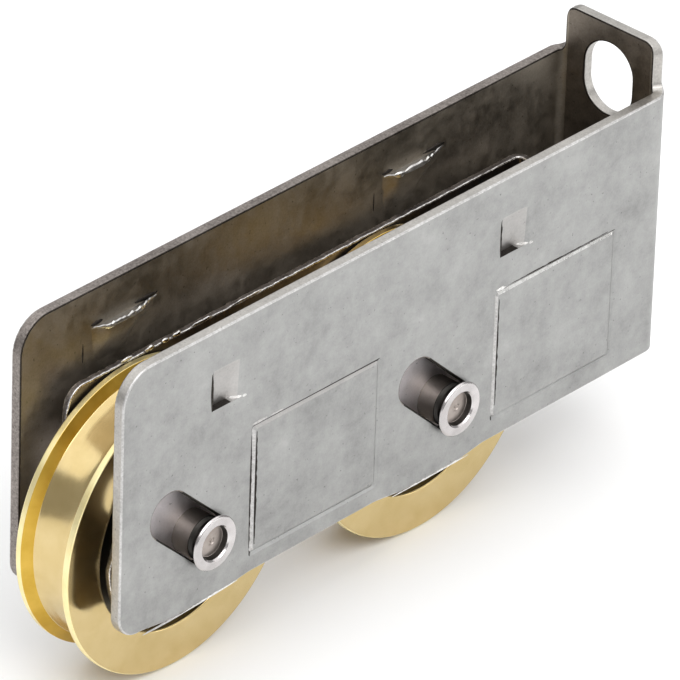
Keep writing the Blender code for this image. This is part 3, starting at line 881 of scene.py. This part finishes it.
def build_housing():
    """The bent sheet with its tab, oval hole, slots, lances, stamped frames and burrs."""
    first, web, web_end, second = strip_marks(HALF_WIDTH, LENGTH, SHEET, BEND)
    centre = (web + web_end) / 2
    far = second + first
    foot = []
    for drop in FOOT_DROPS:
        foot += [(u, v, DROP_ROUND) for u, v in zip(drop, (0, -FOOT_DROP, -FOOT_DROP, 0))]
    outline = rounded([
        (0, 0, FOOT_RADIUS), *foot, *[(far - u, v, radius) for u, v, radius in reversed(foot)],
        (far, 0, FOOT_RADIUS), (far, HEIGHT, TOP_RADIUS),
        (centre + TAB_HALF, HEIGHT, TAB_FILLET), (centre + TAB_HALF, TAB_HEIGHT, TAB_CORNER),
        (centre - TAB_HALF, TAB_HEIGHT, TAB_CORNER), (centre - TAB_HALF, HEIGHT, TAB_FILLET),
        (0, HEIGHT, TOP_RADIUS),
    ])
    rise = (HOLE_HEIGHT - HOLE_WIDTH) / 2
    outlines = [outline, slot_outline((centre, HOLE_CENTRE - rise), 90, 2 * rise, HOLE_WIDTH)]
    for number in (0, 1):
        x = AXLE_X + number * AXLE_SPACING
        outlines.append(slot_outline((x, AXLE_Z), SLOT_ANGLE, SLOT_TRAVEL, SLOT_WIDTH))
        outlines.append(slot_outline((far - x, AXLE_Z), 180 - SLOT_ANGLE, SLOT_TRAVEL, SLOT_WIDTH))
    shape = plate_mesh("housing_sheet", outlines, SHEET, EDGE)
    bend_strip(shape, HALF_WIDTH, LENGTH, SHEET, BEND)
    # Edge faces round the inclined slots take painted shade, and the plain cut edge finish towards
    # the slot's far end.
    for face in shape.faces:
        along = slot_edge(face.calc_center_median())
        if along is not None and face.material_index in (WORN_HIGHLIGHT, CUT, FRONT_CUT):
            face.material_index = CUT if along > SLOT_DARK else PAINTED_EDGE
    housing = new_object("housing_sheet", to_mesh(shape, "housing_sheet"))
    for made in HOUSING_FINISHES:
        housing.data.materials.append(made)
    for middle in LANCE_MIDDLES:
        lance(housing, middle, -1)
        lance(housing, middle, 1)
    for sizes in FRAMES:
        boolean(housing, frame_groove(*sizes), "DIFFERENCE")
    for number, (start, end, radius, index) in enumerate(BURRS_WITH_PAINTED_LIGHT):
        boolean(housing, bead(straight(start, end), radius, index, number), "UNION")
    shade(housing, HOUSING_SHARP)
    place(housing, "housing", ["housing"])


# ---------------------------------------------------------------- carrier

# Torn edge of the carrier: height of its waves, length of its pieces, waves per millimetre, and
# the heights between which it goes from nearly smooth to torn.
TEAR = 0.13
TEAR_STEP = 0.45
TEAR_WAVES = (0.9, 2.3)
TEAR_FINE_SHARE = 0.6
TEAR_INWARD = 0.8
TEAR_LOW_SHARE = 0.15
TEAR_HEIGHTS = (14.0, 20.0)


def ragged(outline, amount, step):
    """Split an outline into short pieces and wave it a little, like a torn edge."""
    points = []
    travelled = 0.0
    for here, after in zip(outline, outline[1:] + outline[:1]):
        here, after = Vector(here), Vector(after)
        length = (after - here).length
        if length < MERGE:
            continue
        count = max(1, round(length / step))
        side = Vector((after.y - here.y, here.x - after.x)) / length
        for k in range(count):
            place_at = travelled + length * k / count
            spot = here.lerp(after, k / count)
            coarse = mathutils.noise.noise((place_at * TEAR_WAVES[0], 3.1, 0.0))
            fine = mathutils.noise.noise((place_at * TEAR_WAVES[1], 8.7, 0.0))
            wave = coarse + TEAR_FINE_SHARE * fine
            share = TEAR_LOW_SHARE + (1 - TEAR_LOW_SHARE) * ramp(spot.y, *TEAR_HEIGHTS)
            points.append(tuple(spot + side * amount * share * (wave - TEAR_INWARD)))
        travelled += length
    return points


# Lumps of burr along the inner edge of the carrier's rear side, in the lip's painted highlight:
# start, end, lift and radius.
CARRIER_LUMPS = (
    (14.0, 15.9, 0.16, 0.26), (18.0, 19.6, 0.0, 0.28), (20.9, 22.1, 0.0, 0.34),
    (22.7, 24.0, 0.05, 0.3), (26.0, 29.5, 0.0, 0.2), (33.0, 38.0, 0.0, 0.17),
)


def build_carrier():
    """The bent inner sheet, round about the left axle, with a hole for each axle."""
    first, _, _, second = strip_marks(CARRIER_HALF, CARRIER_RIGHT, CARRIER_SHEET, CARRIER_BEND)
    far = second + first
    dip = math.degrees(math.asin((AXLE_Z - CARRIER_FOOT) / CARRIER_LOBE))
    front = rounded([
        (CARRIER_RIGHT, CARRIER_TOP, 0), (CARRIER_LEFT, CARRIER_TOP, CARRIER_CORNER),
        (CARRIER_LEFT - CARRIER_LEAN, AXLE_Z + CARRIER_LOBE * CARRIER_SHOULDER, 0),
        (AXLE_X - CARRIER_LOBE, AXLE_Z, 0),
    ])[1:]
    front += arc((AXLE_X, AXLE_Z), CARRIER_LOBE, 182, 180 + dip, 24)
    outline = front + [(far - u, v) for u, v in reversed(front)]
    outlines = [ragged(outline, TEAR, TEAR_STEP)]
    for x in (AXLE_X, AXLE_X + AXLE_SPACING):
        outlines.append(arc((x, AXLE_Z), AXLE_HOLE, 0, 352.5, 47))
        outlines.append(arc((far - x, AXLE_Z), AXLE_HOLE, 0, 352.5, 47))
    shape = plate_mesh("carrier_sheet", outlines, CARRIER_SHEET, CARRIER_EDGE_ROUND)
    bend_strip(shape, CARRIER_HALF, CARRIER_RIGHT, CARRIER_SHEET, CARRIER_BEND)
    carrier = new_object("carrier_sheet", to_mesh(shape, "carrier_sheet"))
    for made in CARRIER_FINISHES:
        carrier.data.materials.append(made)
    inner = CARRIER_HALF - CARRIER_SHEET
    for number, (start, end, lift, radius) in enumerate(CARRIER_LUMPS):
        path = [(x, inner, CARRIER_TOP + lift) for x in span(start, end, 8)]
        boolean(carrier, bead(path, radius, WORN_HIGHLIGHT, number), "UNION")
    shade(carrier, CARRIER_SHARP)
    place(carrier, "carrier", ["carrier"])


# ---------------------------------------------------------------- turned pieces

def spun(points, segments):
    """Surface of a closed section of points (radius, height) turned about Z."""
    shape = bmesh.new()
    rings = []
    for turn in range(segments):
        angle = math.tau * turn / segments
        rings.append([shape.verts.new((r * math.cos(angle), r * math.sin(angle), z))
                      for r, z in points])
    for one, two in zip(rings, rings[1:] + rings[:1]):
        for k in range(len(points)):
            after = (k + 1) % len(points)
            if points[k][0] > MERGE or points[after][0] > MERGE:
                shape.faces.new((one[k], two[k], two[after], one[after]))
    return shape


def turned(name, corners, finish, body, nodes, centre, segments=96, pick=None):
    """Piece turned about Z from a closed section of corners (radius, height, rounding).

    The function pick gives each face's finish from its radius, its height and its normal.
    """
    shape = spun(rounded(corners, 4), segments)
    bmesh.ops.remove_doubles(shape, verts=shape.verts, dist=MERGE)
    bmesh.ops.recalc_face_normals(shape, faces=shape.faces)
    if pick:
        for face in shape.faces:
            middle = face.calc_center_median()
            face.material_index = pick(Vector(middle[:2]).length, middle.z, face.normal)
    return finish_turned(name, to_mesh(shape, name), finish, body, nodes, centre)


def finish_turned(name, mesh, finish, body, nodes, centre):
    """Stand a piece with its local Z along the axle, pointing out of the front plate."""
    thing = new_object(name, mesh)
    for made in finish if isinstance(finish, tuple) else (finish,):
        mesh.materials.append(made)
    shade(thing, TURNED_SHARP)
    thing.data.transform(Matrix.Scale(MM, 4))
    thing.matrix_world = Matrix.Translation(centre) @ Matrix.Rotation(math.pi / 2, 4, "X")
    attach(thing, body)
    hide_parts(*nodes)
    return thing


# Section of a wheel: half widths of the rims, of the groove's walls and of its floor, radii of the
# groove's floor, and the bore for the bearing.
WHEEL_HALF = 4.5
WALL_HALF = 3.65
WALL_FOOT_HALF = 2.75
WALL_FOOT_RADIUS = 17.2
FLOOR_HALF = 1.5
FLOOR_RADIUS = 16.88
FLOOR_MIDDLE_RADIUS = 16.78
HUB_HALF = 3.4
HUB_BORE = 9.5
WHEEL_SEGMENTS = 224

# Where a wheel's finishes change: heights of the walls, the lands and the hub's sides.
WALL_TOP = 3.7
LAND_LOW = 3.6
LAND_DEPTH = 0.15
HUB_TOP = 4.25


def build_wheel(side, centre):
    """Grooved wheel: flat rims, steep groove walls and a faintly hollow floor."""
    hub = HUB_RECESS_RADIUS
    rear = REAR_FLANGE_RADIUS
    corners = [
        (hub, WHEEL_HALF, 0.22), (WHEEL_RADIUS, WHEEL_HALF, 0.2), (WHEEL_RADIUS, WALL_HALF, 0.12),
        (WALL_FOOT_RADIUS, WALL_FOOT_HALF, 0.3), (FLOOR_RADIUS, FLOOR_HALF, 0),
        (FLOOR_MIDDLE_RADIUS, 0.0, 0), (FLOOR_RADIUS, -FLOOR_HALF, 0),
        (WALL_FOOT_RADIUS, -WALL_FOOT_HALF, 0.3), (rear, -WALL_HALF, 0.12),
        (rear, -WHEEL_HALF, 0.2), (hub, -WHEEL_HALF, 0.22), (hub, -HUB_HALF, 0.2),
        (HUB_BORE, -HUB_HALF, 0.15), (HUB_BORE, HUB_HALF, 0.15), (hub, HUB_HALF, 0.2),
    ]

    def pick(radius, height, normal):
        # Groove walls take a darker gold that paints shade, the lands a light brass that paints a
        # highlight (the rear land on the left wheel only), and the hub's recess near-black painted
        # shade.
        beside = WALL_FOOT_RADIUS + 0.05 < radius < rear and abs(height) < WALL_TOP
        if beside and abs(normal.z) > WALL:
            return GROOVE_WALL
        if height > LAND_LOW and radius > WHEEL_RADIUS - LAND_DEPTH:
            return LAND
        if height < -LAND_LOW and radius > rear - LAND_DEPTH and side == "left":
            return LAND
        return HUB_SIDE if radius < hub - 0.01 and abs(height) < HUB_TOP else TURNED

    turned(f"wheel_brass_{side}", corners, WHEEL_FINISHES, f"wheel_set_{side}",
           [f"wheel_{side}"], centre, WHEEL_SEGMENTS, pick=pick)


# Section of an axle as (radius, height, rounding): the recess with its small pip, the flared rim,
# the neck under it, the shank and the rear head.
AXLE_SECTION = (
    (0.0, 9.42, 0), (0.14, 9.42, 0), (0.2, 9.3, 0.03), (0.38, 9.3, 0.03), (0.46, 9.4, 0),
    (0.62, 9.3, 0), (2.02, 9.26, 0.1), (2.17, 9.95, 0.05), (2.4, 10.2, 0.14), (3.36, 10.2, 0.28),
    (3.6, 9.92, 0.08), (3.5, 9.8, 0), (3.05, 9.62, 0), (2.72, 9.4, 0), (2.5, 9.1, 0),
    (2.4, 8.85, 0), (2.45, 8.6, 0.1), (2.8, 8.3, 0.1), (2.8, 8.2, 0), (2.8, -9.35, 0),
    (3.6, -9.35, 0.12), (3.6, -9.75, 0.2), (2.6, -10.2, 0.5), (0.0, -10.2, 0),
)
NECK_HEIGHTS = (8.22, 9.85)
NECK_RADIUS = 2.3
RIM_HEIGHT = 9.2
RIM_RADIUS = 2.2
RECESS_RADIUS = 1.9


def axle_slot(radius, height, normal):
    """Finish of a face of an axle."""
    # The neck under the rim and the recess wall take near-black painted shade.
    if NECK_HEIGHTS[0] < height < NECK_HEIGHTS[1] and radius > NECK_RADIUS:
        return RECESS_WALL
    if height < RIM_HEIGHT:
        return SHANK
    if radius > RIM_RADIUS:
        return RIM
    return RECESS_WALL if abs(normal.z) < 0.7 and radius > RECESS_RADIUS else RECESS_FLOOR


def build_axle(side, centre):
    """Rivet axle: trumpet-shaped head with a recess in front, low domed head behind."""
    turned(f"axle_rivet_{side}", AXLE_SECTION, RIVET_FINISHES, "carrier",
           [f"axle_{side}"], centre, pick=axle_slot)


# Outer race: outer radius, radius of the shields' seats, radius beside the groove, and the seats'
# inner sides. Inner race: its outer radius.
OUTER_RACE = 9.2
SHIELD_SEAT = 8.2
OUTER_RACE_IN = 7.4
SEAT_HALF = 2.3
INNER_RACE_OUT = 5.2

# Spacers: radius, inner and outer side. Shields: outer and inner radius, inner and outer side.
SPACER_OUT = 4.6
SPACER_SIDES = (3.3, 4.5)
SHIELD_OUT = 7.9
SHIELD_IN = 5.5
SHIELD_SIDES = (2.55, 2.85)


def build_rings(side, centre):
    """Races, spacers and shields of one bearing."""
    wheel = f"wheel_set_{side}"
    groove = [(PITCH + RACE_GROOVE * math.cos(a), RACE_GROOVE * math.sin(a), 0)
              for a in [math.radians(RACE_GROOVE_ANGLE - 2 * RACE_GROOVE_ANGLE * step / 12)
                        for step in range(13)]]
    half = RACE_HALF
    outer = [(OUTER_RACE, half, 0.25), (OUTER_RACE, -half, 0.25), (SHIELD_SEAT, -half, 0.05),
             (SHIELD_SEAT, -SEAT_HALF, 0), (OUTER_RACE_IN, -SEAT_HALF, 0.05),
             *reversed(groove), (OUTER_RACE_IN, SEAT_HALF, 0.05),
             (SHIELD_SEAT, SEAT_HALF, 0), (SHIELD_SEAT, half, 0.05)]
    turned(f"bearing_outer_{side}", outer, BEARING, wheel,
           [f"outer_race_{side}"], centre)
    inner = [(INNER_RACE_OUT, half, 0.2), *[(2 * PITCH - r, z, 0) for r, z, _ in groove],
             (INNER_RACE_OUT, -half, 0.2), (BORE, -half, 0.2), (BORE, half, 0.2)]
    turned(f"bearing_inner_{side}", inner, BEARING, "carrier",
           [f"inner_race_{side}"], centre)
    for where, sign in (("front", 1), ("rear", -1)):
        near, away = (sign * z for z in SPACER_SIDES)
        spacer = [(SPACER_OUT, away, 0.15), (SPACER_OUT, near, 0.15), (BORE, near, 0.1),
                  (BORE, away, 0.1)]
        turned(f"spacer_ring_{where}_{side}", spacer, BEARING, "carrier",
               [f"spacer_{where}_{side}"], centre, 64)
        near, away = (sign * z for z in SHIELD_SIDES)
        step = sign * 2.6
        shield = [(SHIELD_OUT, away, 0.08), (SHIELD_OUT, near, 0.08), (6.9, near, 0.05),
                  (6.7, step, 0.05), (SHIELD_IN, step, 0.05), (SHIELD_IN, away, 0.08)]
        turned(f"shield_ring_{where}_{side}", shield, SHIELD, wheel,
               [f"shield_{where}_{side}"], centre)


def build_cage(side, centre):
    """Ball cage: a ring with a round pocket for each ball."""
    shape = spun(rounded([(CAGE_OUT, CAGE_HALF, 0.1), (CAGE_OUT, -CAGE_HALF, 0.1),
                          (CAGE_IN, -CAGE_HALF, 0.1), (CAGE_IN, CAGE_HALF, 0.1)], 2), 126)
    bmesh.ops.recalc_face_normals(shape, faces=shape.faces)
    cage = new_object("cage", to_mesh(shape, "cage"))
    for number in range(BALLS):
        turn = Matrix.Rotation(math.tau * number / BALLS, 4, "Z")
        out = Matrix.Translation((PITCH, 0, 0)) @ Matrix.Rotation(math.pi / 2, 4, "Y")
        pocket = bmesh.new()
        bmesh.ops.create_cone(pocket, cap_ends=True, segments=40, radius1=CAGE_POCKET,
                              radius2=CAGE_POCKET, depth=2, matrix=turn @ out)
        boolean(cage, to_mesh(pocket, "pocket"), "DIFFERENCE")
    mesh = cage.data.copy()
    bpy.data.objects.remove(cage, do_unlink=True)
    finish_turned(f"ball_cage_{side}", mesh, CAGE, f"ball_set_{side}",
                  [f"cage_{side}"], centre)


def build_balls(side, centre):
    """Polished balls round the pitch circle."""
    for number in range(BALLS):
        shape = bmesh.new()
        bmesh.ops.create_uvsphere(shape, u_segments=28, v_segments=16, radius=BALL_RADIUS,
                                  matrix=Matrix.Rotation(math.tau * number / BALLS, 4, "Z")
                                  @ Matrix.Translation((PITCH, 0, 0)))
        finish_turned(f"bearing_ball_{side}_{number + 1}", to_mesh(shape, "ball"), BEARING,
                      f"ball_set_{side}", [f"ball_{side}_{number + 1}"], centre)


# ---------------------------------------------------------------- studio

# The floor's height in metres keeps it just clear of the wheels.
FLOOR_DROP = -0.0002
FLOOR_SIZE = 3.0
FLOOR_COLOUR = (0.93, 0.93, 0.93)
SURROUND = 0.42

# Lights: name, place and aim in metres, size and power.
LIGHTS = (
    ("key", (-0.2, -0.7, 0.75), (0, 0, 0.02), (0.8, 0.6), 4.0),
    ("top", (0.0, 0.0, 1.05), (0, 0, 0.0), (3.0, 3.0), 30.0),
    ("side", (0.57, -0.67, 0.16), (0, 0, 0.03), (0.5, 0.2), 0.7),
)

# Camera: lens and place in millimetres, and the directions to its right and ahead.
LENS = 469.7
SENSOR = 36.0
CAMERA_PLACE = (-625.4, -602.4, 566.1)
CAMERA_RIGHT = (0.6804, -0.7323, 0.0295)
CAMERA_AHEAD = (0.6364, 0.5704, -0.5194)


def build_floor():
    """Plain pale floor under the wheels."""
    shape = bmesh.new()
    bmesh.ops.create_grid(shape, x_segments=2, y_segments=2, size=FLOOR_SIZE)
    floor = new_object("studio_floor", to_mesh(shape, "studio_floor"))
    floor.location.z = FLOOR_DROP
    made, _, _ = material("pale_floor", FLOOR_COLOUR, 0.7, 0.0)
    floor.data.materials.append(made)


def area_light(name, place_at, aim, size, power):
    """Rectangular soft white light aimed at a point."""
    lamp = bpy.data.lights.new(name, "AREA")
    lamp.shape = "RECTANGLE"
    lamp.size, lamp.size_y = size
    lamp.energy = power
    holder = bpy.data.objects.new(name, lamp)
    holder.location = place_at
    holder.rotation_euler = (Vector(aim) - Vector(place_at)).to_track_quat("-Z", "Y").to_euler()
    bpy.context.scene.collection.objects.link(holder)


def build_lights():
    """Soft light from above, from the front and from the right, and an even white surround."""
    world = bpy.data.worlds.new("studio")
    bpy.context.scene.world = world
    world.use_nodes = True
    background = world.node_tree.nodes["Background"]
    background.inputs["Color"].default_value = (1.0, 1.0, 1.0, 1.0)
    background.inputs["Strength"].default_value = SURROUND
    for values in LIGHTS:
        area_light(*values)


def build_camera():
    """Camera on the front left, looking down the housing."""
    lens = bpy.data.cameras.new("camera")
    lens.lens = LENS
    lens.sensor_width = SENSOR
    lens.clip_start = 0.05
    lens.clip_end = 20.0
    right = Vector(CAMERA_RIGHT).normalized()
    forward = Vector(CAMERA_AHEAD).normalized()
    up = right.cross(forward).normalized()
    right = forward.cross(up)
    holder = bpy.data.objects.new("camera", lens)
    turn = Matrix((right, up, -forward)).transposed().to_4x4()
    spot = HOUSING_ORIGIN + Vector(CAMERA_PLACE) * MM
    holder.matrix_world = Matrix.Translation(spot) @ turn
    bpy.context.scene.collection.objects.link(holder)
    bpy.context.scene.camera = holder


build_housing()
build_carrier()
for SIDE in ("left", "right"):
    LOW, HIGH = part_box(f"axle_{SIDE}")
    CENTRE = Vector(((LOW.x + HIGH.x) / 2, 0.0, (LOW.z + HIGH.z) / 2))
    build_wheel(SIDE, CENTRE)
    build_axle(SIDE, CENTRE)
    build_rings(SIDE, CENTRE)
    build_cage(SIDE, CENTRE)
    build_balls(SIDE, CENTRE)
build_floor()
build_lights()
build_camera()
bpy.context.scene.view_settings.view_transform = "Standard"
